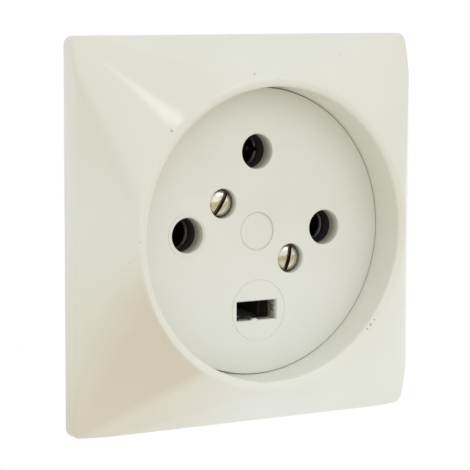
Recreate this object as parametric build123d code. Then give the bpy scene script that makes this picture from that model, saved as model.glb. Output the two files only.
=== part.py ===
from build123d import *
from math import atan2, cos, degrees, radians
import os

# Flush three-phase socket with earth: a pillowed square cover frame with a round plug well, a round centre
# disc held by two slotted screws, and behind them a moulded base with sleeve contacts on a steel yoke.
# Everything is drawn looking at the face: x to the right, y up, z out of the wall, with z = 0 on the wall.
# The finished pieces are then turned so that up is +Z and the face looks along -Y.
# All sizes are in millimetres.

# Pins and sleeve contacts
pin_radius = 3.0
contact_play = 0.02
sleeve_wall = 0.83
sleeve_length = 13.1
bore_depth = 12.6
mouth_flare = 0.4
slit_width = 0.8
slit_length = 9.0
pitch_radius = 16.35

# Spring ring round each sleeve
ring_setback = 3.6
ring_width = 1.8
ring_thickness = 0.95
groove_depth = 0.35
ring_play = 0.05
ring_gap = 1.2

# Terminal head at the back of each contact
head_shoulder = 0.95
head_length = 9.4
wire_radius = 2.25
wire_depth = 6.6
terminal_screw_radius = 1.95
terminal_screw_head_radius = 2.8
terminal_screw_head_height = 2.0
terminal_screw_from_back = 4.2
terminal_gap = 0.3
thread_play = 0.05

# Moulded base
pocket_play = 0.7
head_play = 0.2
rear_play = 0.1
barrel_wall = 3.15
flange_width = 1.7
flange_thickness = 3.1
front_wall = 2.6
contact_recess = 0.4
pin_hole_play = 0.3
pin_lead = 0.5

# Mounting yoke and its fastenings
yoke_thickness = 1.5
yoke_hole_play = 0.2
yoke_band = 5.6
yoke_web = 1.8
box_slot_radius = 2.1
box_slot_length = 7.0
yoke_end = 2.0
yoke_corner = 7.0
tab_width = 8.0
tab_length = 5.4
tab_play = 0.4
tab_angle = 45.0
yoke_screw_inset = 2.7
yoke_screw_radius = 1.45
yoke_screw_head_radius = 2.7
yoke_screw_head_height = 1.3
yoke_screw_overrun = 0.3
hole_play = 0.15

# Centre disc
disc_thickness = 3.4
disc_play = 0.1
pin_hole_radius = 3.575
screw_recess_radius = 3.05
screw_recess_depth = 2.3
screw_inset = 6.25
screw_angle = 143.3
medallion_radius = 3.95
medallion_depth = 0.3
earth_slot_width = 9.5
earth_slot_height = 4.0

# Cover screws and the threaded inserts that take them
cover_screw_radius = 1.7
cover_head_play = 0.2
cover_head_edge = 0.75
cover_head_bevel = 0.7
cover_slot_width = 0.95
cover_slot_depth = 0.9
cover_screw_reach = 6.4
insert_radius = 3.0
insert_length = 8.0

# Cover frame
ledge_width = 2.9
ledge_play = 0.4
ledge_thickness = 2.0
rim_rise = 7.8
well_flare = 0.3
rim_land = 1.8
mouth_edge = 0.6
roof_run = 8.4
roof_reach = 2.6
roof_foot = 1.2
ridge_radius = 1.5
plate_corner = 1.8
hollow_corner = 0.8
skirt_wall = 2.2
roof_drop = 3.4
well_wall = 2.0
rib_thickness = 1.4
rib_foot = 2.2

# Earth clip, block and strap
sheet_thickness = 0.8
clip_width = 8.0
clip_mouth = 2.3
clip_throat = 1.35
clip_heel = 2.0
clip_throat_depth = 6.2
clip_notch = 1.1
clip_notch_offset = 0.7
clip_pocket_play = 0.4
slot_play = 0.15
rivet_radius = 1.0
rivet_head_radius = 1.5
rivet_head_height = 0.8
rivet_grip = 1.5
strap_width = 6.0
strap_play = 0.3
strap_clear = 0.1
strap_end = 1.9
rivet_play = 0.3
strap_start = 3.0
strap_bend = 1.0

# Rear plate
rear_thickness = 2.0
wire_hole_play = 0.35
rear_screw_radius = 1.45
rear_screw_depth = 6.0
rear_head_radius = 2.6
rear_head_height = 1.7

# Sizes worked out from the values above
bore_radius = pin_radius + contact_play
sleeve_radius = bore_radius + sleeve_wall
groove_radius = sleeve_radius - groove_depth
ring_inner = groove_radius + ring_play
ring_outer = ring_inner + ring_thickness
pocket_radius = ring_outer + pocket_play
head_half = sleeve_radius + head_shoulder
pocket_half = head_half + head_play
head_face = pitch_radius + head_half
barrel_radius = head_face + head_play + barrel_wall
flange_radius = barrel_radius + flange_width
yoke_hole = barrel_radius + yoke_hole_play
slot_centre = yoke_hole + yoke_web + box_slot_length / 2
yoke_half_width = slot_centre + box_slot_length / 2 + yoke_end
yoke_half_height = yoke_hole + yoke_band
tab_tip = yoke_hole - tab_length
yoke_screw_reach = yoke_hole - yoke_screw_inset

ledge_radius = flange_radius + ledge_play
well_radius = ledge_radius + ledge_width
mouth_radius = well_radius + well_flare
rim_radius = mouth_radius + rim_land
plate_half = rim_radius + roof_run
tube_radius = well_radius + well_wall
disc_radius = well_radius - disc_play

base_face = yoke_thickness + flange_thickness
disc_face = base_face + disc_thickness
rim_height = disc_face + rim_rise
ledge_back = base_face - ledge_thickness
pocket_top = base_face - front_wall
contact_mouth = pocket_top - contact_recess
head_front = contact_mouth - sleeve_length
head_back = head_front - head_length
barrel_back = head_back - rear_play
rear_back = barrel_back - rear_thickness
terminal_height = head_back + terminal_screw_from_back
base_pin_hole = bore_radius + pin_hole_play
screw_reach = pitch_radius - screw_inset
recess_floor = disc_face - screw_recess_depth

CENTRED = (Align.CENTER, Align.CENTER, Align.MIN)
phases = {"right": 0.0, "top": 90.0, "left": 180.0}
earth_angle = 270.0


def post(radius, low, high):
    """A round bar along z between two heights."""
    return Pos(0, 0, low) * Cylinder(radius, high - low, align=CENTRED)


def slab(width, height, low, high):
    """A rectangular block along z between two heights."""
    return Pos(0, 0, low) * Box(width, height, high - low, align=CENTRED)


def around(angle, reach):
    """The place at a distance from the centre, turned so that its x axis points away from the centre."""
    return Rot(0, 0, angle) * Pos(reach, 0, 0)


def outward(radius, height, start, end):
    """A round bar that runs away from the centre along x, at a height, between two distances."""
    return Pos(start, 0, height) * Rot(0, 90, 0) * Cylinder(radius, end - start, align=CENTRED)


def turned(points):
    """A solid of revolution about z from the corners of its half section, given as radius and height."""
    outline = Polyline(*[(radius, 0, height) for radius, height in points], close=True)
    return revolve(make_face(outline), Axis.Z)


# Cover frame: a square skirt whose roof runs from four straight sides to a round rim
def transition(half, corner, foot, top, radius):
    """Square to round: a flat triangle rises from each side, and a ruled corner joins it to the next."""
    flat = half - corner
    bulge = flat + corner * cos(radians(45))
    quarter = radius * cos(radians(45))
    faces = []
    lower = []
    upper = []
    for turn in range(4):
        place = Rot(0, 0, 90 * turn)
        start = Vector(-flat, half, foot)
        end = Vector(flat, half, foot)
        apex = Vector(0, radius, top)
        next_apex = Vector(radius, 0, top)
        side = Edge.make_line(start, end)
        bend = Edge.make_three_point_arc(end, Vector(bulge, bulge, foot), Vector(half, flat, foot))
        arc = Edge.make_three_point_arc(apex, Vector(quarter, quarter, top), next_apex)
        triangle = Face(Wire.make_polygon([start, end, apex], close=True))
        faces += [place * triangle, place * Face.make_surface_from_curves(bend, arc)]
        lower += [place * side, place * bend]
        upper.append(place * arc)
    faces.append(Face(Wire(lower)))
    faces.append(Face(Wire(upper)))
    return Solid(Shell(faces))


def pillow():
    """The frame's outside: the roof, with a foot under it, trimmed to the square of the skirt."""
    wide = plate_half + roof_reach
    roof = transition(wide, ridge_radius, roof_foot, rim_height, rim_radius)
    foot = extrude(RectangleRounded(2 * wide, 2 * wide, ridge_radius), roof_foot)
    skirt = extrude(RectangleRounded(2 * plate_half, 2 * plate_half, plate_corner), rim_height)
    return (roof + foot) & skirt


def roof_hollow():
    """The room under the roof: a square block, planed down along each side and across each corner."""
    half = plate_half - skirt_wall
    hollow = extrude(RectangleRounded(2 * half, 2 * half, hollow_corner), rim_height)
    side = plate_half + roof_reach
    corner = side * 2 ** 0.5 - ridge_radius * (2 ** 0.5 - 1)
    for angle in range(0, 360, 45):
        reach = corner if angle % 90 else side
        slope = degrees(atan2(rim_height - roof_foot, reach - rim_radius))
        above = Box(4 * plate_half, 2 * plate_half, plate_half, align=(Align.CENTER, Align.CENTER, Align.MIN))
        hollow -= around(angle, rim_radius) * Pos(0, 0, rim_height - roof_drop) * Rot(0, slope, 0) * above
    return hollow - post(tube_radius, ledge_back, rim_height)


def cover_frame():
    well = turned([(0, base_face), (well_radius, base_face), (well_radius, disc_face),
                   (mouth_radius, rim_height - mouth_edge), (mouth_radius + mouth_edge, rim_height),
                   (mouth_radius + mouth_edge, rim_height + 1), (0, rim_height + 1)])
    hollow = roof_hollow()
    for angle in (45, 135, 225, 315):
        rib = slab(plate_half, rib_thickness, rib_foot, rim_height)
        hollow -= around(angle, well_radius + plate_half / 2) * rib
    return pillow() - hollow - well - post(ledge_radius, 0, base_face)


# Centre disc: pin holes, earth slot, screw recesses and a bare round field in the middle
def cover_screw_places():
    return [Rot(0, 0, angle) * Pos(screw_reach, 0, 0) for angle in (screw_angle, screw_angle + 180)]


def centre_disc():
    disc = post(disc_radius, base_face, disc_face)
    for angle in phases.values():
        disc -= around(angle, pitch_radius) * post(pin_hole_radius, base_face - 1, disc_face + 1)
    for place in cover_screw_places():
        disc -= place * post(screw_recess_radius, recess_floor, disc_face + 1)
        disc -= place * post(cover_screw_radius + hole_play, base_face - 1, recess_floor + 1)
    disc -= post(medallion_radius, disc_face - medallion_depth, disc_face + 1)
    slot = slab(earth_slot_width, earth_slot_height, base_face - 1, disc_face + 1)
    return disc - Pos(0, -pitch_radius, 0) * slot


# Cover screws: slotted heads with a bevelled top, in the disc's recesses
def cover_screw(slot_angle):
    head_radius = screw_recess_radius - cover_head_play
    top = recess_floor + cover_head_edge + cover_head_bevel
    head = turned([(0, recess_floor - cover_screw_reach), (cover_screw_radius, recess_floor - cover_screw_reach),
                   (cover_screw_radius, recess_floor), (head_radius, recess_floor),
                   (head_radius, recess_floor + cover_head_edge), (head_radius / 2, top), (0, top)])
    slot = slab(3 * head_radius, cover_slot_width, top - cover_slot_depth, top + 1)
    return head - Rot(0, 0, slot_angle) * slot


def cover_screws():
    upper, lower = cover_screw_places()
    return Compound([upper * cover_screw(-86), lower * cover_screw(113)])


def screw_inserts():
    bush = post(insert_radius, base_face - insert_length, base_face)
    bush -= post(cover_screw_radius + thread_play, base_face - insert_length - 1, base_face + 1)
    return Compound([place * bush for place in cover_screw_places()])


# Moulded base: a flange on the yoke, and a barrel with a pocket for each contact
def barrel_outline():
    """The barrel's section, with a channel for each tab of the yoke and one for the earth strap."""
    outline = Circle(barrel_radius)
    floor = tab_tip - tab_play
    for angle in (tab_angle, tab_angle + 180):
        channel = Rectangle(barrel_radius, tab_width + 2 * tab_play, align=(Align.MIN, Align.CENTER))
        outline -= Rot(0, 0, angle) * Pos(floor, 0) * channel
    channel = Rectangle(barrel_radius, strap_width + 2 * strap_play, align=(Align.MIN, Align.CENTER))
    outline -= Rot(0, 0, earth_angle) * Pos(head_face - strap_clear, 0) * channel
    return outline


def terminal_pocket():
    """The square pocket at the back for a terminal head, with the hole that its clamp screw is turned through."""
    pocket = slab(2 * pocket_half, 2 * pocket_half, barrel_back - 1, head_front)
    access = terminal_screw_head_radius + terminal_gap
    return pocket + outward(access, terminal_height, 0, 2 * barrel_wall + pocket_half)


def base_body():
    flange = post(flange_radius, yoke_thickness, base_face)
    barrel = Pos(0, 0, barrel_back) * extrude(barrel_outline(), yoke_thickness - barrel_back)
    base = flange + barrel
    for angle in phases.values():
        place = around(angle, pitch_radius)
        base -= place * lead_in()
        base -= place * post(pocket_radius, head_front - 1, pocket_top)
        base -= place * terminal_pocket()
    earth = around(earth_angle, pitch_radius)
    base -= earth * slab(earth_slot_height + 2 * slot_play, earth_slot_width + 2 * slot_play,
                         pocket_top - 1, base_face + 1)
    clip_room = 2 * (clip_mouth + sheet_thickness + clip_pocket_play)
    base -= earth * slab(clip_room, clip_width + 2 * clip_pocket_play, head_front - 1, pocket_top)
    base -= earth * terminal_pocket()
    for place in cover_screw_places():
        base -= place * post(insert_radius, base_face - insert_length, base_face + 1)
        base -= place * post(cover_screw_radius + hole_play,
                             recess_floor - cover_screw_reach - 1, base_face)
    for angle in (tab_angle, tab_angle + 180):
        base -= around(angle, yoke_screw_reach) * countersunk_hole()
    return base - post(rear_screw_radius + thread_play, barrel_back - 1, barrel_back + rear_screw_depth + 1)


def lead_in():
    """A tapered hole in the front wall that guides a pin to its sleeve."""
    return turned([(0, pocket_top - 1), (base_pin_hole, pocket_top - 1), (base_pin_hole, pocket_top),
                   (base_pin_hole + pin_lead, base_face), (base_pin_hole + pin_lead, base_face + 1),
                   (0, base_face + 1)])


def countersunk_hole():
    shank = yoke_screw_radius + hole_play
    mouth = yoke_screw_head_radius + hole_play
    return turned([(0, yoke_thickness - 1), (shank, yoke_thickness - 1),
                   (shank, base_face - yoke_screw_head_height), (mouth, base_face),
                   (mouth, base_face + 1), (0, base_face + 1)])


# Phase contacts: turned brass sleeves, slit so that they grip, each with a square terminal head
def terminal_head():
    """A square head with a blind hole for the wire and a tapped hole for the clamp screw."""
    head = slab(2 * head_half, 2 * head_half, head_back, head_front)
    head = chamfer(head.edges().filter_by(Axis.Z), head_shoulder / 2)
    head -= post(wire_radius, head_back - 1, head_back + wire_depth)
    return head - outward(terminal_screw_radius + thread_play, terminal_height, 0, head_half + 1)


def phase_contact():
    sleeve = post(sleeve_radius, head_front - 0.5, contact_mouth)
    body = sleeve + terminal_head()
    bore_end = contact_mouth - bore_depth
    body -= turned([(0, bore_end), (bore_radius, bore_end), (bore_radius, contact_mouth - mouth_flare),
                    (bore_radius + mouth_flare, contact_mouth),
                    (bore_radius + mouth_flare, contact_mouth + 1), (0, contact_mouth + 1)])
    groove_top = contact_mouth - ring_setback
    groove = post(sleeve_radius + 1, groove_top - ring_width - 2 * ring_play, groove_top)
    body -= groove - post(groove_radius, groove_top - ring_width - 1, groove_top + 1)
    slit = slab(slit_width, 2 * sleeve_radius + 1, contact_mouth - slit_length, contact_mouth + 1)
    return body - slit


def spring_ring():
    top = contact_mouth - ring_setback - ring_play
    ring = post(ring_outer, top - ring_width, top) - post(ring_inner, top - ring_width - 1, top + 1)
    opening = slab(2 * ring_outer, ring_gap, top - ring_width - 1, top + 1)
    return ring - Pos(ring_outer, 0, 0) * opening


def terminal_screw(lift):
    """A slotted clamp screw that points to the centre, lifted by what lies under its head."""
    tip = wire_radius + terminal_gap
    under = head_half + terminal_gap + lift
    shank = outward(terminal_screw_radius, terminal_height, tip, under)
    cheese = outward(terminal_screw_head_radius, terminal_height, under, under + terminal_screw_head_height)
    cut = Pos(under + terminal_screw_head_height, 0, terminal_height)
    slot = Box(terminal_screw_head_height, 3 * terminal_screw_head_radius, slit_width)
    return shank + cheese - cut * slot


# Earth: a folded spring clip riveted to a terminal block, and a strap from the block to the yoke
def earth_clip():
    """A sheet folded into a U, its leaves pinched at the throat and spread at the mouth."""
    throat_height = contact_mouth - clip_throat_depth
    heel_height = head_front + sheet_thickness
    inner = [(clip_mouth, contact_mouth), (clip_throat, throat_height), (clip_heel, heel_height)]
    outer = [(gap + sheet_thickness, height) for gap, height in inner[:2]]
    outer.append((clip_heel + sheet_thickness, head_front))
    inner = inner + [(-gap, height) for gap, height in reversed(inner)]
    outer = outer + [(-gap, height) for gap, height in reversed(outer)]
    section = make_face(Polyline(*[(gap, 0, height) for gap, height in outer], close=True))
    clip = extrude(section, clip_width / 2, both=True, dir=(0, 1, 0))
    inner[0] = (inner[0][0] + (clip_mouth - clip_throat) / clip_throat_depth, contact_mouth + 1)
    inner[-1] = (-inner[0][0], contact_mouth + 1)
    room = make_face(Polyline(*[(gap, 0, height) for gap, height in inner], close=True))
    clip -= extrude(room, clip_width, both=True, dir=(0, 1, 0))
    notch = outward(clip_notch, contact_mouth, 0, clip_mouth + 2 * sheet_thickness)
    clip -= Pos(0, -clip_notch_offset, 0) * notch
    return clip - post(rivet_radius + thread_play, head_front - 1, heel_height + 1)


def earth_block():
    return terminal_head() - post(rivet_radius + thread_play, head_front - rivet_grip - rear_play, head_front + 1)


def earth_rivet():
    seat = head_front + sheet_thickness
    return post(rivet_head_radius, seat, seat + rivet_head_height) + post(
        rivet_radius, head_front - rivet_grip, seat)


def strap_rivet_reach():
    return flange_radius + rivet_head_radius + rivet_play


def earth_strap():
    """A strip on the block's outer face that bends out behind the yoke."""
    start = terminal_height - strap_start
    outer = head_face + sheet_thickness
    end = strap_rivet_reach() + strap_end
    path = [(head_face, start), (outer, start), (outer, -sheet_thickness), (end, -sheet_thickness),
            (end, 0), (head_face, 0)]
    section = make_face(Polyline(*[(reach, 0, height) for reach, height in path], close=True))
    strip = extrude(section, strap_width / 2, both=True, dir=(0, 1, 0))
    bend = [edge for edge in strip.edges().filter_by(Axis.Y)
            if abs(edge.center().Z) < 0.01 and abs(edge.center().X - head_face) < 0.01]
    strip = fillet(bend, strap_bend)
    strip -= outward(terminal_screw_radius + hole_play, terminal_height, head_face - 1, outer + 1)
    hole = post(rivet_radius + thread_play, -sheet_thickness - 1, 1)
    return strip - Pos(strap_rivet_reach(), 0, 0) * hole


def strap_rivet():
    back = -sheet_thickness - rivet_head_height
    front = yoke_thickness + rivet_head_height * 0.75
    rivet = post(rivet_radius, -sheet_thickness, yoke_thickness)
    rivet += post(rivet_head_radius, back, -sheet_thickness)
    return rivet + post(rivet_head_radius, yoke_thickness, front)


# Steel yoke: a plate on the wall with slots for the box screws and two tabs that the base is screwed to
def mounting_yoke():
    outline = RectangleRounded(2 * yoke_half_width, 2 * yoke_half_height, yoke_corner)
    window = Circle(yoke_hole)
    for angle in (tab_angle, tab_angle + 180):
        tab = Rectangle(yoke_hole, tab_width, align=(Align.MIN, Align.CENTER))
        window -= Rot(0, 0, angle) * Pos(tab_tip, 0) * tab
    outline -= window
    for side in (-slot_centre, slot_centre):
        outline -= Pos(side, 0) * SlotOverall(box_slot_length, 2 * box_slot_radius)
    yoke = extrude(outline, yoke_thickness)
    for angle in (tab_angle, tab_angle + 180):
        yoke -= around(angle, yoke_screw_reach) * post(yoke_screw_radius + thread_play, -1, yoke_thickness + 1)
    hole = post(rivet_radius + thread_play, -1, yoke_thickness + 1)
    return yoke - around(earth_angle, strap_rivet_reach()) * hole


def yoke_screw():
    tip = -yoke_screw_overrun
    screw = turned([(0, tip), (yoke_screw_radius, tip), (yoke_screw_radius, base_face - yoke_screw_head_height),
                    (yoke_screw_head_radius, base_face), (0, base_face)])
    return screw - slab(3 * yoke_screw_head_radius, slit_width, base_face - yoke_screw_head_height / 2, base_face + 1)


def yoke_screws():
    return Compound([around(angle, yoke_screw_reach) * yoke_screw() for angle in (tab_angle, tab_angle + 180)])


# Rear plate: closes the pockets and lets the wires through to the terminals
def rear_plate():
    plate = Pos(0, 0, rear_back) * extrude(barrel_outline(), rear_thickness)
    for angle in (*phases.values(), earth_angle):
        hole = post(wire_radius + wire_hole_play, rear_back - 1, barrel_back + 1)
        plate -= around(angle, pitch_radius) * hole
    return plate - post(rear_screw_radius + hole_play, rear_back - 1, barrel_back + 1)


def rear_plate_screw():
    low = rear_back - rear_head_height
    screw = post(rear_head_radius, low, rear_back) + post(rear_screw_radius, rear_back, barrel_back + rear_screw_depth)
    return screw - slab(3 * rear_head_radius, slit_width, low - 1, low + rear_head_height / 2)


def at(angle, piece):
    return around(angle, pitch_radius) * piece


def main():
    pieces = {
        "cover_frame": cover_frame(),
        "centre_disc": centre_disc(),
        "cover_screws": cover_screws(),
        "screw_inserts": screw_inserts(),
        "base_body": base_body(),
        "mounting_yoke": mounting_yoke(),
        "yoke_screws": yoke_screws(),
        "rear_plate": rear_plate(),
        "rear_plate_screw": rear_plate_screw(),
        "earth_clip": at(earth_angle, earth_clip()),
        "earth_block": at(earth_angle, earth_block()),
        "earth_rivet": at(earth_angle, earth_rivet()),
        "earth_terminal_screw": at(earth_angle, terminal_screw(sheet_thickness)),
        "earth_strap": Rot(0, 0, earth_angle) * earth_strap(),
        "earth_strap_rivet": around(earth_angle, strap_rivet_reach()) * strap_rivet(),
    }
    for name, angle in phases.items():
        pieces["contact_" + name] = at(angle, phase_contact())
        pieces["spring_ring_" + name] = at(angle, spring_ring())
        pieces["terminal_screw_" + name] = at(angle, terminal_screw(0))
    os.makedirs("parts", exist_ok=True)
    for name, piece in pieces.items():
        export_step(Plane.XZ * piece, os.path.join("parts", name + ".step"))
    print("plate", 2 * plate_half, "rim", rim_height, "disc face", disc_face, "box screws", 2 * slot_centre)


main()
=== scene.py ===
import bmesh
import bpy
from math import cos, hypot, pi, radians, sin
from mathutils import Matrix, Vector


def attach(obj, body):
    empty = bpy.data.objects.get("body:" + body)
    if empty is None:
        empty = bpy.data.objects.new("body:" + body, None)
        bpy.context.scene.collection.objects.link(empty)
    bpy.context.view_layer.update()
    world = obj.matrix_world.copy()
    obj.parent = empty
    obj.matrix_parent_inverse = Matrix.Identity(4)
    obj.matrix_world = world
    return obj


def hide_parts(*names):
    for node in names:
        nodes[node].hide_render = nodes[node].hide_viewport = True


# Flush three-phase socket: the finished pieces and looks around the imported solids.
# Pieces are drawn looking at the face, in millimetres: x to the right, y up, z out of the wall.
# onWall turns them to the row frame, in metres, where up is +Z and the face looks along -Y.

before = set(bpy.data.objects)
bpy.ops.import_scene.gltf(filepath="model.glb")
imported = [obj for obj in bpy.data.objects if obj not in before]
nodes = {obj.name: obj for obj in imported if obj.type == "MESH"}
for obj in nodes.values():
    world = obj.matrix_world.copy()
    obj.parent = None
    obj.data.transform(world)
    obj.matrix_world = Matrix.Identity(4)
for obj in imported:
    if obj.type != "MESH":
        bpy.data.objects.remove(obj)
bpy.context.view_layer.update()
onWall = Matrix.Scale(0.001, 4) @ Matrix.Rotation(pi / 2, 4, "X")
print("frame loaded:", len(nodes), "nodes")


# Helpers for meshes: lengths in mm, angles in degrees

meshValues = {"mergeBelow": 0.0005, "dissolveBelow": 0.0004, "seamBelow": 0.001,
              "bevelFrom": 40, "smoothBelow": 32}


def upright(angle, reach=0.0):
    # the place at a distance from the centre, turned so that its x axis points away from the centre
    return Matrix.Rotation(radians(angle), 4, "Z") @ Matrix.Translation((reach, 0, 0))


def beside(across, up):
    return Matrix.Translation((across, up, 0))


def rounded(corner, before, after, steps=5):
    # a soft corner: a curve from corner + before to corner + after, pulled to the corner
    points = []
    for step in range(steps + 1):
        share = step / steps
        points.append(corner + (1 - share) ** 2 * before + share ** 2 * after)
    return points


def turned(section, steps=96, closed=False):
    # a solid of revolution about z from radius and height; its section starts and ends on the axis,
    # or is closed and makes a ring
    mesh = bmesh.new()
    corners = [mesh.verts.new((radius, 0, height)) for radius, height in section]
    following = corners[1:] + (corners[:1] if closed else [])
    edges = [mesh.edges.new(pair) for pair in zip(corners, following)]
    bmesh.ops.spin(mesh, geom=corners + edges, axis=(0, 0, 1), cent=(0, 0, 0), angle=2 * pi,
                   steps=steps, use_merge=True, use_duplicate=False)
    closeUp(mesh)
    return mesh


def ringBar(radius, width, low, high):
    # a ring with a square section
    return turned([(radius, low), (radius + width, low), (radius + width, high), (radius, high)], closed=True)


def slab(outline, thickness):
    # a flat sheet standing on the x axis, from its outline of reach and height
    mesh = bmesh.new()
    corners = [mesh.verts.new((reach, -thickness / 2, height)) for reach, height in outline]
    made = bmesh.ops.extrude_face_region(mesh, geom=[mesh.faces.new(corners)])
    bmesh.ops.translate(mesh, vec=(0, thickness, 0), verts=onlyOf(bmesh.types.BMVert, made))
    closeUp(mesh)
    return mesh


def block(width, height, low, high):
    # a box between two heights
    mesh = bmesh.new()
    bmesh.ops.create_cube(mesh, size=1)
    bmesh.ops.scale(mesh, vec=(width, height, high - low), verts=mesh.verts)
    bmesh.ops.translate(mesh, vec=(0, 0, (low + high) / 2), verts=mesh.verts)
    return mesh


def onlyOf(kind, made):
    return [item for item in made["geom"] if isinstance(item, kind)]


def closeUp(mesh):
    bmesh.ops.remove_doubles(mesh, verts=mesh.verts, dist=meshValues["mergeBelow"])
    bmesh.ops.dissolve_degenerate(mesh, edges=mesh.edges, dist=meshValues["dissolveBelow"])
    bmesh.ops.recalc_face_normals(mesh, faces=mesh.faces)


def asObject(mesh, name, place=None):
    if place:
        mesh.transform(place)
    data = bpy.data.meshes.new(name)
    mesh.to_mesh(data)
    mesh.free()
    made = bpy.data.objects.new(name, data)
    bpy.context.scene.collection.objects.link(made)
    return made


def applyModifiers(made):
    graph = bpy.context.evaluated_depsgraph_get()
    data = bpy.data.meshes.new_from_object(made.evaluated_get(graph))
    made.modifiers.clear()
    made.data = data


def softEdges(made, width):
    # sharp edges get a narrow two-step bevel
    soft = made.modifiers.new("soft", "BEVEL")
    soft.width = width
    soft.segments = 2
    soft.limit_method = "ANGLE"
    soft.angle_limit = radians(meshValues["bevelFrom"])


def cutBy(made, cutters, operation="DIFFERENCE"):
    # one exact boolean for each cutter; the cutters are thrown away
    for cutter in cutters:
        step = made.modifiers.new("cut", "BOOLEAN")
        step.operation = operation
        step.solver = "EXACT"
        step.object = cutter
    applyModifiers(made)
    for cutter in cutters:
        bpy.data.objects.remove(cutter)
    return made


def finished(made, material, replaced):
    # the piece goes to the row frame, gets its finish and rides on the one body
    made.data.transform(onWall)
    made.data.shade_smooth()
    made.data.set_sharp_from_angle(angle=radians(meshValues["smoothBelow"]))
    made.data.materials.clear()
    made.data.materials.append(material)
    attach(made, "root")
    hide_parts(replaced)


# Helpers for shaders

def feed(tree, node, inputs):
    # each input gets a value, or a link where another node's output is given
    for socket, value in inputs.items():
        if isinstance(value, bpy.types.NodeSocket):
            tree.links.new(value, node.inputs[socket])
        else:
            node.inputs[socket].default_value = value


def addNode(tree, kind, inputs, **settings):
    node = tree.nodes.new("ShaderNode" + kind)
    for name, value in settings.items():
        setattr(node, name, value)
    feed(tree, node, inputs)
    return node


def combined(tree, operation, *values):
    inputs = dict(enumerate(values))
    return addNode(tree, "Math", inputs, operation=operation).outputs["Value"]


def vectorResult(tree, operation, output, *values):
    inputs = dict(enumerate(values))
    return addNode(tree, "VectorMath", inputs, operation=operation).outputs[output]


def remapped(tree, value, limits, smooth=False):
    inputs = {"Value": value, **limits}
    blend = "SMOOTHSTEP" if smooth else "LINEAR"
    return addNode(tree, "MapRange", inputs, interpolation_type=blend).outputs["Result"]


def blended(tree, under, over, mask):
    # colour over colour where the mask is 1; under is a colour or a node's output
    if isinstance(under, tuple):
        under = (*under, 1)
    mix = addNode(tree, "Mix", {"A": under, "B": (*over, 1), "Factor": mask}, data_type="RGBA")
    return mix.outputs["Result"]


def eitherShader(tree, share, first, second):
    inputs = {"Fac": share, 1: first.outputs[0], 2: second.outputs[0]}
    return addNode(tree, "MixShader", inputs)


def newMaterial(name):
    material = bpy.data.materials.new(name)
    material.use_nodes = True
    return material, material.node_tree


# Shader groups: what more than one finish needs; scales are in turns per metre

groupValues = {
    "mottleDetail": 3, "mottleFrom": 0.35, "mottleTo": 0.65, "grainDetail": 2,
    "frontScale": 110, "spotScale": 1500, "spotCore": 0.6,
}


def shaderGroup(name, inputs, output):
    # an empty group that takes a place and named values; output is what it gives back
    tree = bpy.data.node_groups.new(name, "ShaderNodeTree")
    for socket, value in {"Vector": (0, 0, 0), **inputs}.items():
        kind = "NodeSocketVector" if isinstance(value, tuple) else "NodeSocketFloat"
        tree.interface.new_socket(name=socket, in_out="INPUT", socket_type=kind).default_value = value
    tree.interface.new_socket(name=output, in_out="OUTPUT", socket_type="NodeSocketFloat")
    given, result = tree.nodes.new("NodeGroupInput"), tree.nodes.new("NodeGroupOutput")
    return tree, given.outputs, result


def noiseIn(tree, vector, **inputs):
    return addNode(tree, "TexNoise", {"Vector": vector, **inputs}).outputs["Fac"]


def mottleGroup():
    # slow patches that swing between two values
    v = groupValues
    tree, given, result = shaderGroup("mottle", {"Scale": 60, "Low": 0, "High": 1}, "Value")
    noise = noiseIn(tree, given["Vector"], Scale=given["Scale"], Detail=v["mottleDetail"])
    limits = {"From Min": v["mottleFrom"], "From Max": v["mottleTo"], "To Min": given["Low"],
              "To Max": given["High"]}
    feed(tree, result, {"Value": remapped(tree, noise, limits)})
    return tree


def grainGroup():
    # fine unevenness of the skin, drawn out along one way where the metal was rolled
    v = groupValues
    defaults = {"Stretch": (1, 1, 1), "Scale": 900, "Depth": 0.00001}
    tree, given, result = shaderGroup("grain", defaults, "Height")
    drawn = vectorResult(tree, "MULTIPLY", "Vector", given["Vector"], given["Stretch"])
    noise = noiseIn(tree, drawn, Scale=given["Scale"], Detail=v["grainDetail"])
    feed(tree, result, {"Height": combined(tree, "MULTIPLY", noise, given["Depth"])})
    return tree


def speckGroup():
    # a few small specks, one at most in each cell
    tree, given, result = shaderGroup("specks", {"Scale": 200, "Size": 0.1, "Share": 0.2}, "Mask")
    cells = addNode(tree, "TexVoronoi", {"Vector": given["Vector"], "Scale": given["Scale"]})
    near = remapped(tree, cells.outputs["Distance"], {"From Min": given["Size"], "From Max": 0})
    picked = combined(tree, "LESS_THAN", cells.outputs["Color"], given["Share"])
    feed(tree, result, {"Mask": combined(tree, "MULTIPLY", near, picked)})
    return tree


def spreadGroup():
    # grows from 0 to 1 along one way, with a ragged front
    v = groupValues
    defaults = {"Along": (0, 1, 0), "Start": 0, "End": 1, "Ragged": 0}
    tree, given, result = shaderGroup("spread", defaults, "Mask")
    reach = vectorResult(tree, "DOT_PRODUCT", "Value", given["Vector"], given["Along"])
    noise = noiseIn(tree, given["Vector"], Scale=v["frontScale"])
    shifted = combined(tree, "MULTIPLY_ADD", noise, given["Ragged"], reach)
    limits = {"From Min": given["Start"], "From Max": given["End"]}
    feed(tree, result, {"Mask": remapped(tree, shifted, limits, smooth=True)})
    return tree


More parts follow.
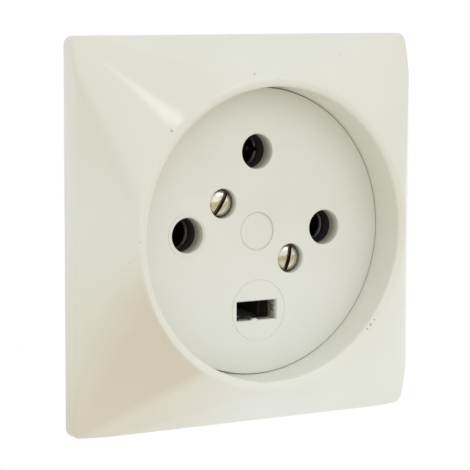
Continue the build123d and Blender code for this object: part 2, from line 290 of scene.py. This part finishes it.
def spotGroup():
    # one small ragged mark at a place
    v = groupValues
    defaults = {"Place": (0, 0, 0), "Flatten": (1, 0, 1), "Radius": 0.001}
    tree, given, result = shaderGroup("spot", defaults, "Mask")
    away = vectorResult(tree, "SUBTRACT", "Vector", given["Vector"], given["Place"])
    drawn = vectorResult(tree, "MULTIPLY", "Vector", away, given["Flatten"])
    distance = vectorResult(tree, "LENGTH", "Value", drawn)
    ragged = combined(tree, "MULTIPLY", noiseIn(tree, given["Vector"], Scale=v["spotScale"]), given["Radius"])
    core = combined(tree, "MULTIPLY", given["Radius"], v["spotCore"])
    limits = {"From Min": core, "From Max": given["Radius"], "To Min": 1, "To Max": 0}
    feed(tree, result, {"Mask": remapped(tree, combined(tree, "ADD", distance, ragged), limits)})
    return tree


mottle, grain, specks, spread, spot = mottleGroup(), grainGroup(), speckGroup(), spreadGroup(), spotGroup()


def grouped(tree, group, place, inputs):
    return addNode(tree, "Group", {"Vector": place, **inputs}, node_tree=group).outputs[0]


# Finishes: colours are linear, scales are in turns per metre, depths in metres

finishes = {
    "coverPlastic": {
        "colour": (0.805, 0.815, 0.735), "second": (0.780, 0.790, 0.695), "tone": 45,
        "rough": (0.09, 0.14), "roughScale": 160,
        "stretch": (1, 1, 1), "grain": 420, "depth": 0.000012,
        "speck": (0.30, 0.24, 0.15), "speckScale": 75, "speckSize": 0.035, "speckShare": 0.3},
    "discPlastic": {
        "colour": (0.795, 0.812, 0.750), "second": (0.775, 0.790, 0.720), "tone": 60,
        "rough": (0.38, 0.46), "roughScale": 300,
        "stretch": (1, 1, 1), "grain": 2600, "depth": 0.000010,
        "speck": (0.34, 0.28, 0.18), "speckScale": 110, "speckSize": 0.04, "speckShare": 0.25},
    "basePhenolic": {
        "colour": (0.058, 0.055, 0.056), "second": (0.044, 0.041, 0.042), "tone": 220,
        "rough": (0.34, 0.52), "roughScale": 260,
        "stretch": (1, 1, 1), "grain": 1600, "depth": 0.00002,
        "speck": (0.09, 0.085, 0.08), "speckScale": 900, "speckSize": 0.2, "speckShare": 0.3},
    "rearPhenolic": {
        "colour": (0.050, 0.022, 0.010), "second": (0.028, 0.012, 0.006), "tone": 500,
        "rough": (0.4, 0.58), "roughScale": 320,
        "stretch": (1, 1, 0.12), "grain": 2400, "depth": 0.00002,
        "speck": (0.09, 0.05, 0.025), "speckScale": 700, "speckSize": 0.16, "speckShare": 0.3},
    "brassMetal": {
        "colour": (0.60, 0.42, 0.17), "second": (0.46, 0.30, 0.12), "tone": 190,
        "rough": (0.24, 0.42), "roughScale": 500,
        "stretch": (1, 0.15, 1), "grain": 3200, "depth": 0.000006,
        "speck": (0.16, 0.09, 0.04), "speckScale": 520, "speckSize": 0.16, "speckShare": 0.3},
    "bronzeSpring": {
        "colour": (0.36, 0.345, 0.33), "second": (0.26, 0.245, 0.225), "tone": 260,
        "rough": (0.38, 0.55), "roughScale": 420,
        "stretch": (0.2, 1, 1), "grain": 2600, "depth": 0.000008,
        "speck": (0.03, 0.024, 0.018), "speckScale": 600, "speckSize": 0.16, "speckShare": 0.3},
    "springSteel": {
        "colour": (0.36, 0.36, 0.37), "second": (0.27, 0.265, 0.26), "tone": 300,
        "rough": (0.24, 0.38), "roughScale": 520,
        "stretch": (1, 0.12, 1), "grain": 3600, "depth": 0.000006,
        "speck": (0.12, 0.09, 0.07), "speckScale": 700, "speckSize": 0.14, "speckShare": 0.2},
    "steelScrew": {
        "colour": (0.56, 0.56, 0.53), "second": (0.47, 0.47, 0.46), "tone": 420,
        "rough": (0.22, 0.36), "roughScale": 700,
        "stretch": (1, 1, 1), "grain": 3000, "depth": 0.000005,
        "speck": (0.24, 0.22, 0.19), "speckScale": 800, "speckSize": 0.14, "speckShare": 0.25},
    "nickelScrew": {
        "colour": (0.79, 0.785, 0.65), "second": (0.66, 0.64, 0.53), "tone": 520,
        "rough": (0.10, 0.20), "roughScale": 900,
        "stretch": (0.35, 1, 1), "grain": 2600, "depth": 0.000010,
        "speck": (0.20, 0.17, 0.12), "speckScale": 1100, "speckSize": 0.16, "speckShare": 0.3},
    "zincSteel": {
        "colour": (0.56, 0.575, 0.59), "second": (0.44, 0.455, 0.475), "tone": 150,
        "rough": (0.26, 0.40), "roughScale": 260,
        "stretch": (0.05, 1, 1), "grain": 1800, "depth": 0.000010,
        "speck": (0.33, 0.34, 0.34), "speckScale": 260, "speckSize": 0.5, "speckShare": 0.4},
    "tinnedStrap": {
        "colour": (0.60, 0.60, 0.58), "second": (0.48, 0.48, 0.47), "tone": 260,
        "rough": (0.28, 0.42), "roughScale": 380,
        "stretch": (1, 1, 0.1), "grain": 2200, "depth": 0.000010,
        "speck": (0.28, 0.27, 0.25), "speckScale": 520, "speckSize": 0.2, "speckShare": 0.25},
}


def finish(name, metal=0, after=None):
    # the shared build of every finish: two tones, specks, uneven gloss and a fine skin
    v = finishes[name]
    material, tree = newMaterial(name)
    place = addNode(tree, "TexCoord", {}).outputs["Object"]
    colour = blended(tree, v["colour"], v["second"], grouped(tree, mottle, place, {"Scale": v["tone"]}))
    dots = {"Scale": v["speckScale"], "Size": v["speckSize"], "Share": v["speckShare"]}
    colour = blended(tree, colour, v["speck"], grouped(tree, specks, place, dots))
    if after:
        colour = after(tree, place, colour)
    low, high = v["rough"]
    gloss = grouped(tree, mottle, place, {"Scale": v["roughScale"], "Low": low, "High": high})
    skin = grouped(tree, grain, place, {"Stretch": v["stretch"], "Scale": v["grain"], "Depth": v["depth"]})
    bump = addNode(tree, "Bump", {"Distance": 1, "Height": skin})
    feed(tree, tree.nodes["Principled BSDF"], {"Metallic": metal, "Base Color": colour, "Roughness": gloss,
                                               "Normal": bump.outputs["Normal"]})
    return material


# Marks on the cover: places and radii in mm across the face, x and y; the fronts of its painted warm
# reflections in metres

coverMarksAndPaintedReflection = {
    "pits": [((-4.9, 32.4), 0.6), ((18.9, 35.9), 0.4), ((-24.3, 21.7), 0.7)],
    "pitColour": (0.50, 0.46, 0.34),
    "scuffs": [((22.2, -20.8), 0.5), ((23.0, -20.0), 0.6), ((23.9, -19.0), 0.5), ((24.7, -17.9), 0.45)],
    "scuffColour": (0.36, 0.33, 0.25),
    "scratch": ((-33.1, -3.8), 0.22), "scratchFlatten": (0.2, 0, 2), "scratchColour": (0.55, 0.53, 0.44),
    # painted reflection: warm, tan and rosy tints mirrored by the facets that face left and down
    "warmReflectionColour": (0.750, 0.738, 0.605), "tanReflectionColour": (0.665, 0.617, 0.490),
    "rosyReflectionColour": (0.730, 0.690, 0.560), "facingLimits": {"From Min": -0.05, "From Max": -0.25},
    "fronts": {
        "left": {"Along": (-0.54, 0, 0.84), "Start": -0.0146, "End": -0.0116},
        "warmReflection": {"Along": (0, 0, -1), "Start": -0.003, "End": 0.024, "Ragged": 0.006},
        "tanReflection": {"Along": (0.94, 0, -0.34), "Start": -0.0312, "End": -0.0215, "Ragged": 0.002},
        "rosyReflection": {"Along": (-1, 0, 0), "Start": 0.004, "End": 0.032, "Ragged": 0.006},
    },
}


def coverWearAndPaintedReflection(tree, place, colour):
    # pits and scuffs; painted warm reflections on the surfaces that face down and left: the lower facet goes
    # rosy to its left, the left one warm and tan towards its foot
    v = coverMarksAndPaintedReflection

    def marked(under, mark, at, radius, **more):
        where = {"Place": (at[0] / 1000, 0, at[1] / 1000), "Radius": radius / 1000, **more}
        return blended(tree, under, mark, grouped(tree, spot, place, where))

    for dots, mark in (("pits", "pitColour"), ("scuffs", "scuffColour")):
        for at, radius in v[dots]:
            colour = marked(colour, v[mark], at, radius)
    colour = marked(colour, v["scratchColour"], *v["scratch"], Flatten=v["scratchFlatten"])
    masks = {name: grouped(tree, spread, place, front) for name, front in v["fronts"].items()}
    facing = addNode(tree, "NewGeometry", {}).outputs["Normal"]
    ways = addNode(tree, "SeparateXYZ", {"Vector": facing}).outputs
    leftward, downward = [remapped(tree, ways[axis], v["facingLimits"], smooth=True) for axis in ("X", "Z")]
    # painted reflection on the lower facet, towards its left
    rosyReflection = combined(tree, "MULTIPLY", masks["rosyReflection"], downward)
    colour = blended(tree, colour, v["rosyReflectionColour"], rosyReflection)
    # painted reflection on the left facet, warm and tan towards its foot
    warmReflection = combined(tree, "MULTIPLY", combined(tree, "MULTIPLY", masks["left"], masks["warmReflection"]), leftward)
    colour = blended(tree, colour, v["warmReflectionColour"], warmReflection)
    return blended(tree, colour, v["tanReflectionColour"], combined(tree, "MULTIPLY", warmReflection, masks["tanReflection"]))


# Painted shade that deepens with depth: in the disc's holes and slot, and on the screw heads below their
# crowns and in their slots; and tarnish on the contacts' front ends

depthShadeAndTarnish = {
    # painted shade on the pin holes' walls, darker deeper in
    "holePaintedShade": {
        "colour": (0.50, 0.475, 0.375),
        "depth": {"Start": -0.0077, "End": -0.0052, "Ragged": 0.0002}},
    # painted shade: the earth slot's walls near black past its mouth
    "slotShade": {
        "colour": (0.03, 0.03, 0.03),
        "depth": {"Start": -0.0074, "End": -0.0066, "Ragged": 0.0001},
        "within": {"Place": (0, 0, -0.01635), "Flatten": (0.19, 0, 0.42), "Radius": 0.003}},
    # painted shade on the screw heads below their crowns and in their slots
    "screwPaintedShade": {
        "colour": (0.13, 0.11, 0.075),
        "depth": {"Start": -0.0070, "End": -0.0065, "Ragged": 0.0001}},
    "contactTarnish": {
        "colour": (0.19, 0.18, 0.165),
        "depth": {"Start": 0.017, "End": 0.010, "Ragged": 0.002}},
}


def withDepthShadeAndTarnish(*names):
    # darkens the colour deeper in: painted shade, and tarnish on the contacts
    def after(tree, place, colour):
        for v in [depthShadeAndTarnish[name] for name in names]:
            mask = grouped(tree, spread, place, v["depth"])
            if "within" in v:
                mask = combined(tree, "MULTIPLY", mask, grouped(tree, spot, place, v["within"]))
            colour = blended(tree, colour, v["colour"], mask)
        return colour
    return after


# the cover carries pits, scuffs and painted reflections
coverPlastic = finish("coverPlastic", after=coverWearAndPaintedReflection)
# the disc carries painted shade in its holes and slot
discPlastic = finish("discPlastic", after=withDepthShadeAndTarnish("holePaintedShade", "slotShade"))
basePhenolic, rearPhenolic = finish("basePhenolic"), finish("rearPhenolic")
brassMetal = finish("brassMetal", 1, withDepthShadeAndTarnish("contactTarnish"))
bronzeSpring, springSteel = finish("bronzeSpring", 0.4), finish("springSteel", 1)
# the screw heads carry painted shade below their crowns
steelScrew, nickelScrew = finish("steelScrew", 1), finish("nickelScrew", 1, withDepthShadeAndTarnish("screwPaintedShade"))
zincSteel, tinnedStrap = finish("zincSteel", 1), finish("tinnedStrap", 1)
print("finishes made")


# Cover frame: four flat facets run from the straight sides of the plate up to a round rim, and between
# them the skin is ruled from the corner to a quarter of the rim

frameValues = {
    "plateHalf": 40.0, "plateCorner": 1.8, "skirtWall": 2.2, "hollowCorner": 0.8,
    "ridgeReach": 42.6, "ridgeRadius": 1.5, "roofFoot": 1.2, "roofDrop": 3.4,
    "rimRadius": 31.6, "rimHeight": 15.8, "rimRound": 0.7,
    "mouthRadius": 29.8, "mouthRound": 0.8, "mouthDrop": 3.0, "mouthEase": 0.1,
    "wellRadius": 29.5, "discFace": 8.0, "wellStep": 0.5,
    "ledgeRadius": 26.6, "ledgeBack": 2.6, "ledgeFace": 4.6, "tubeRadius": 31.5,
    "edgeSetBack": 0.5, "edgeDrop": 0.6, "footRound": 0.3,
    "cornerColumns": 44, "sideColumns": 3, "roofRows": 10, "roundSteps": 6, "footSteps": 3,
    "ribThickness": 1.4, "ribAngles": (45, 135, 225, 315),
    "rib": [(31.0, 2.2), (53.4, 2.2), (53.4, 3.2), (48.0, 5.5), (31.0, 13.2)],
}


def squareNormal(point, half, corner):
    # which way the wall of a rounded square faces at a point on it, in the first quarter
    flat = half - corner
    if point.x > flat and point.y > flat:
        return Vector((point.x - flat, point.y - flat, 0)).normalized()
    return Vector((1, 0, 0)) if point.x > point.y else Vector((0, 1, 0))


def trimmed(start, end, half, corner, halvings=40):
    # where the line from start to end leaves a rounded square
    flat = half - corner
    inner, outer = 0.0, 1.0
    for halving in range(halvings):
        middle = (inner + outer) / 2
        point = start.lerp(end, middle)
        if point.x > flat and point.y > flat:
            within = hypot(point.x - flat, point.y - flat) <= corner
        else:
            within = max(point.x, point.y) <= half
        inner, outer = (middle, outer) if within else (inner, middle)
    return start.lerp(end, inner)


def frameColumn(angle, side=1.0):
    # one line of the frame's skin in the first quarter, from the ledge round to the ledge again.
    # side is 1 on a corner's ruled part, and falls to 0 at the middle of a flat facet
    v = frameValues
    toward = Vector((cos(angle), sin(angle), 0))
    up = Vector((0, 0, 1))

    def ring(radius, height):
        return toward * radius + up * height

    flat = v["ridgeReach"] - v["ridgeRadius"]
    low = Vector((flat, flat, 0)) + toward * v["ridgeRadius"] + up * v["roofFoot"]
    if angle == 0:
        low.y *= side
    if angle == pi / 2:
        low.x *= side
    crest = ring(v["rimRadius"], v["rimHeight"])
    edge = trimmed(crest, low, v["plateHalf"], v["plateCorner"])
    inside = trimmed(crest, low, v["plateHalf"] - v["skirtWall"], v["hollowCorner"])
    outward = squareNormal(edge, v["plateHalf"], v["plateCorner"])
    slope = (edge - crest) / (edge - crest).dot(outward)
    steep = (edge - crest).normalized()
    points = [ring(v["ledgeRadius"], v["ledgeBack"]), ring(v["ledgeRadius"], v["ledgeFace"]),
              ring(v["wellRadius"], v["ledgeFace"]), ring(v["wellRadius"], v["discFace"] - v["wellStep"]),
              ring(v["wellRadius"], v["discFace"]),
              ring(v["mouthRadius"] - v["mouthEase"], v["rimHeight"] - v["mouthDrop"])]
    mouth = ring(v["mouthRadius"], v["rimHeight"])
    points += rounded(mouth, -up * v["mouthRound"], toward * v["mouthRound"], v["roundSteps"])
    points += rounded(crest, -toward * v["rimRound"], steep * v["rimRound"], v["roundSteps"])
    start, end = points[-1], edge - slope * v["edgeSetBack"]
    points += [start.lerp(end, row / v["roofRows"]) for row in range(1, v["roofRows"])]
    points += rounded(edge, -slope * v["edgeSetBack"], -up * v["edgeDrop"], v["roundSteps"])
    foot = Vector((edge.x, edge.y, 0))
    points += rounded(foot, up * v["footRound"], -outward * v["footRound"], v["footSteps"])
    points += [Vector((inside.x, inside.y, 0)), inside - up * v["roofDrop"],
               ring(v["tubeRadius"], v["rimHeight"] - v["roofDrop"]),
               ring(v["tubeRadius"], v["ledgeBack"]), ring(v["ledgeRadius"], v["ledgeBack"])]
    return points


def coverFrame():
    v = frameValues
    shares = [row / v["sideColumns"] for row in range(v["sideColumns"])]
    turns = [pi / 2 * step / v["cornerColumns"] for step in range(v["cornerColumns"] + 1)]
    columns = [frameColumn(0, share) for share in shares]
    columns += [frameColumn(angle) for angle in turns]
    columns += [frameColumn(pi / 2, share) for share in reversed(shares)]
    across, along = len(columns) - 1, len(columns[0]) - 1
    mesh = bmesh.new()
    bmesh.ops.create_grid(mesh, x_segments=across, y_segments=along, size=1)
    for vert in mesh.verts:
        column = round((vert.co.x + 1) / 2 * across)
        row = round((vert.co.y + 1) / 2 * along)
        vert.co = columns[column][row]
    for axis in ("X", "Y"):
        geometry = mesh.verts[:] + mesh.edges[:] + mesh.faces[:]
        bmesh.ops.mirror(mesh, geom=geometry, axis=axis, merge_dist=meshValues["seamBelow"])
    closeUp(mesh)
    made = asObject(mesh, "coverFrame")
    ribs = [asObject(slab(v["rib"], v["ribThickness"]), "rib", upright(angle)) for angle in v["ribAngles"]]
    return cutBy(made, ribs, "UNION")


finished(coverFrame(), coverPlastic, "cover_frame")
print("cover frame made")


# Centre disc: pin holes, screw recesses, earth slot with a fine ring round it, and a bare round field

discValues = {
    "radius": 29.4, "back": 4.6, "face": 8.0, "edgeRound": 0.25, "edgeSteps": 160, "past": 1.0,
    "pitch": 16.35, "pinAngles": (0, 90, 180), "pinHole": 3.575, "pinRound": 0.35, "pinSteps": 72,
    "screwReach": 10.1, "screwAngles": (143.3, 323.3), "shankHole": 1.85,
    "recess": 3.05, "recessFloor": 5.7, "recessRound": 0.2, "recessSteps": 64,
    "field": 3.95, "fieldDepth": 0.3, "fieldRound": 0.12, "fieldSteps": 72,
    "grooveInset": 0.22, "grooveWidth": 0.2, "grooveDepth": 0.1,
    "slotWidth": 9.5, "slotHeight": 4.0, "slotRound": 0.3, "slotSteps": ((0.3, 0.62), (0.7, 0.38)),
    "ringAt": (0.3, -16.3), "ringRadius": 6.2, "ringWidth": 0.2, "ringDepth": 0.1,
    "lipRadius": 3.95, "lipWidth": 0.5, "lipHeight": 0.12, "lipFoot": 0.5,
    "bumpAt": (-0.3, -19.2), "bumpRadius": 1.2, "bumpBelow": 0.2, "bumpRound": 0.2, "bumpSteps": 64,
}


def flare(radius, soft, steps):
    # the softened mouth of a round hole and the cutter above it, as points of its half section
    face, past = discValues["face"], discValues["past"]
    mouth = rounded(Vector((radius, face)), Vector((0, -soft)), Vector((soft, 0)), steps)
    return [*[tuple(point) for point in mouth], (radius + soft, face + past), (0, face + past)]


def slotCutter():
    # a straight block whose upper edges spread out to a soft mouth
    v = discValues
    mesh = block(v["slotWidth"], v["slotHeight"], v["back"] - v["past"], v["face"] - v["slotRound"])
    top = [max(mesh.faces, key=lambda face: face.normal.z)]
    for out, rise in (*v["slotSteps"], (0, v["past"] / v["slotRound"])):
        made = bmesh.ops.extrude_face_region(mesh, geom=top)
        bmesh.ops.delete(mesh, geom=top, context="FACES")
        top = onlyOf(bmesh.types.BMFace, made)
        for vert in onlyOf(bmesh.types.BMVert, made):
            sideways = [out if reach > 0 else -out for reach in vert.co.xy]
            vert.co += Vector((*sideways, rise)) * v["slotRound"]
    closeUp(mesh)
    return asObject(mesh, "cutter", beside(0, -v["pitch"]))


def centreDisc():
    v = discValues
    face, back, below = v["face"], v["back"], v["back"] - v["past"]
    edge = rounded(Vector((v["radius"], face)), Vector((-v["edgeRound"], 0)), Vector((0, -v["edgeRound"])), 3)
    section = [(0, face), *[tuple(point) for point in edge], (v["radius"], back), (0, back)]
    disc = asObject(turned(section, v["edgeSteps"]), "centreDisc")
    pin = [(0, below), (v["pinHole"], below), *flare(v["pinHole"], v["pinRound"], 4)]
    recess = [(0, below), (v["shankHole"], below), (v["shankHole"], v["recessFloor"]),
              (v["recess"], v["recessFloor"]), *flare(v["recess"], v["recessRound"], 3)]
    floor = face - v["fieldDepth"]
    field = [(0, floor), (v["field"], floor), *flare(v["field"], v["fieldRound"], 3)]
    places = [(pin, v["pinSteps"], upright(angle, v["pitch"])) for angle in v["pinAngles"]]
    places += [(recess, v["recessSteps"], upright(angle, v["screwReach"])) for angle in v["screwAngles"]]
    places += [(field, v["fieldSteps"], None)]
    cutters = [asObject(turned(outline, steps), "cutter", place) for outline, steps, place in places]
    top = face + v["past"]
    groove = ringBar(v["field"] - v["grooveInset"], v["grooveWidth"], floor - v["grooveDepth"], top)
    ring = ringBar(v["ringRadius"], v["ringWidth"], face - v["ringDepth"], top)
    cutters += [asObject(groove, "cutter"), slotCutter(), asObject(ring, "cutter", beside(*v["ringAt"]))]
    cutBy(disc, cutters)
    lip = ringBar(v["lipRadius"], v["lipWidth"], face - v["lipFoot"], face + v["lipHeight"])
    high, foot = face - v["bumpBelow"], back + v["bumpRound"]
    bump = turned([(0, foot), (v["bumpRadius"], foot), (v["bumpRadius"], high - v["bumpRound"]),
                   (v["bumpRadius"] - v["bumpRound"], high), (0, high)], v["bumpSteps"])
    return cutBy(disc, [asObject(lip, "lip", upright(180, v["pitch"])),
                        asObject(bump, "bump", beside(*v["bumpAt"]))], "UNION")


finished(centreDisc(), discPlastic, "centre_disc")
print("centre disc made")


# Cover screws: domed slotted heads

screwValues = {
    "head": 2.85, "under": 5.7, "edge": 0.6, "dome": 0.95, "domeSteps": 10, "steps": 64,
    "shank": 1.7, "reach": 6.4, "turns": (-86, 113),
    "slotLength": 8.55, "slotWidth": 0.95, "slotDepth": 0.9, "slotSoft": 0.06, "past": 2.0,
}


def coverScrews():
    v = screwValues
    under, shoulder, end = v["under"], v["under"] + v["edge"], v["under"] - v["reach"]
    crown = shoulder + v["dome"]
    section = [(0, end), (v["shank"], end), (v["shank"], under), (v["head"], under)]
    for step in range(v["domeSteps"]):
        angle = pi / 2 * step / v["domeSteps"]
        section.append((v["head"] * cos(angle), shoulder + v["dome"] * sin(angle)))
    section.append((0, crown))
    mesh = bmesh.new()
    for turn, around in zip(v["turns"], discValues["screwAngles"]):
        head = asObject(turned(section, v["steps"]), "head")
        slot = block(v["slotLength"], v["slotWidth"], crown - v["slotDepth"], shoulder + v["past"])
        cutBy(head, [asObject(slot, "cutter", upright(turn))])
        softEdges(head, v["slotSoft"])
        applyModifiers(head)
        head.data.transform(upright(around, discValues["screwReach"]))
        mesh.from_mesh(head.data)
        bpy.data.objects.remove(head)
    return asObject(mesh, "coverScrews")


finished(coverScrews(), nickelScrew, "cover_screws")
print("cover screws made")


# The solids that keep their own shape get their finish and softened edges: lengths in metres

solidValues = {"mergeBelow": 0.000001, "edgeWidth": 0.00008}
nodeFinishes = {
    "base_body": basePhenolic, "rear_plate": rearPhenolic, "mounting_yoke": zincSteel,
    "yoke_screws": steelScrew, "rear_plate_screw": steelScrew, "screw_inserts": brassMetal,
    "contact_right": brassMetal, "contact_top": brassMetal, "contact_left": brassMetal,
    "spring_ring_right": springSteel, "spring_ring_top": springSteel, "spring_ring_left": springSteel,
    "terminal_screw_right": steelScrew, "terminal_screw_top": steelScrew, "terminal_screw_left": steelScrew,
    "earth_clip": bronzeSpring, "earth_block": brassMetal, "earth_rivet": brassMetal,
    "earth_terminal_screw": steelScrew, "earth_strap": tinnedStrap, "earth_strap_rivet": brassMetal,
}
for name, material in nodeFinishes.items():
    node = nodes[name]
    node.data.materials.clear()
    node.data.materials.append(material)
    weld = node.modifiers.new("weld", "WELD")
    weld.merge_threshold = solidValues["mergeBelow"]
    softEdges(node, solidValues["edgeWidth"])
print("solids dressed")


# Studio: pale floor, soft light and the photograph's camera; lengths in metres

studioValues = {
    "floorHeight": -0.0402, "floorHalf": 3, "floorSeen": 1.0, "floorNear": 0.92, "floorFront": 0.62,
    "frontColour": (1.0, 0.86, 0.62, 1), "frontLimits": {"From Min": -0.03, "From Max": -0.16},
    "allRound": 0.77,
    "brighter": (("Y", 1, 0.05), ("Y", -1, 0.3), ("Z", 1, 0.02), ("X", 1, 0.02), ("X", -1, 0.03)),
    "darkTowards": (-0.88, -0.47, 0.0),
    "darkLimits": {"From Min": 0.88, "From Max": 0.96, "To Min": 1, "To Max": 0.15},
}
lampValues = {
    "keyLamp": {"at": (0.45, -0.75, 0.55), "size": 0.5, "power": 0.71},
    "ridgeLamp": {"at": (-0.11, -0.64, 0.46), "size": 0.07, "power": 0.05},
}
cameraValues = {
    "lens": 166.1, "sensor": 36, "near": 0.01, "far": 10,
    "at": (-0.23169, -0.38251, 0.04886), "yaw": 31.15, "pitch": 6.43, "roll": 0.15,
}


def linked(name, data):
    made = bpy.data.objects.new(name, data)
    bpy.context.scene.collection.objects.link(made)
    return made


def floorMaterial():
    # the camera sees a plain pale floor; its light is white near the plate and warmer in front
    v = studioValues
    material, tree = newMaterial("paleFloor")
    tree.nodes.remove(tree.nodes["Principled BSDF"])
    place = addNode(tree, "TexCoord", {}).outputs["Object"]
    ways = addNode(tree, "SeparateXYZ", {"Vector": place}).outputs
    ahead = remapped(tree, ways["Y"], v["frontLimits"])
    near = addNode(tree, "Emission", {"Strength": v["floorNear"]})
    front = addNode(tree, "Emission", {"Color": v["frontColour"], "Strength": v["floorFront"]})
    seen = addNode(tree, "Emission", {"Strength": v["floorSeen"]})
    byCamera = addNode(tree, "LightPath", {}).outputs["Is Camera Ray"]
    light = eitherShader(tree, ahead, near, front)
    shown = eitherShader(tree, byCamera, light, seen)
    feed(tree, tree.nodes["Material Output"], {"Surface": shown.outputs[0]})
    return material


def studioWorld():
    # an even white room, a little brighter towards some sides; shiny things also mirror one dark corner
    v = studioValues
    world = bpy.data.worlds.new("studio")
    bpy.context.scene.world = world
    world.use_nodes = True
    tree, white = world.node_tree, (1, 1, 1, 1)
    toward = addNode(tree, "TexCoord", {}).outputs["Generated"]
    ways = addNode(tree, "SeparateXYZ", {"Vector": toward}).outputs
    total = v["allRound"]
    for axis, side, extra in v["brighter"]:
        share = remapped(tree, ways[axis], {"From Min": 0, "From Max": side, "To Max": extra})
        total = combined(tree, "ADD", share, total)
    corner = vectorResult(tree, "DOT_PRODUCT", "Value", toward, v["darkTowards"])
    mirrored = combined(tree, "MULTIPLY", total, remapped(tree, corner, v["darkLimits"]))
    room = tree.nodes["Background"]
    feed(tree, room, {"Color": white, "Strength": total})
    shine = addNode(tree, "Background", {"Color": white, "Strength": mirrored})
    seen = addNode(tree, "Background", {"Color": white})
    path = addNode(tree, "LightPath", {}).outputs
    lit = eitherShader(tree, path["Is Glossy Ray"], room, shine)
    shown = eitherShader(tree, path["Is Camera Ray"], lit, seen)
    feed(tree, tree.nodes["World Output"], {"Surface": shown.outputs[0]})


def studio():
    v = studioValues
    mesh = bmesh.new()
    bmesh.ops.create_grid(mesh, x_segments=1, y_segments=1, size=v["floorHalf"])
    bmesh.ops.translate(mesh, vec=(0, 0, v["floorHeight"]), verts=mesh.verts)
    floor = asObject(mesh, "paleFloor")
    floor.data.materials.append(floorMaterial())
    studioWorld()
    for name, lamp in lampValues.items():
        data = bpy.data.lights.new(name, "AREA")
        data.size = lamp["size"]
        data.energy = lamp["power"]
        light = linked(name, data)
        light.location = lamp["at"]
        light.rotation_mode = "QUATERNION"
        light.rotation_quaternion = (-Vector(lamp["at"])).to_track_quat("-Z", "Y")


def camera():
    v = cameraValues
    data = bpy.data.cameras.new("camera")
    data.sensor_width, data.lens = v["sensor"], v["lens"]
    data.clip_start, data.clip_end = v["near"], v["far"]
    bpy.context.scene.camera = linked("camera", data)
    yaw, pitch, roll = radians(v["yaw"]), radians(v["pitch"]), radians(v["roll"])
    ahead = Vector((sin(yaw) * cos(pitch), cos(yaw) * cos(pitch), -sin(pitch)))
    right = Vector((cos(yaw), -sin(yaw), 0))
    up = right.cross(ahead)
    turnedRight = right * cos(roll) + up * sin(roll)
    turnedUp = up * cos(roll) - right * sin(roll)
    turn = Matrix((turnedRight, turnedUp, -ahead)).transposed().to_4x4()
    bpy.context.scene.camera.matrix_world = Matrix.Translation(v["at"]) @ turn


studio()
camera()
bpy.context.scene.view_settings.view_transform = "Standard"
print("studio made")
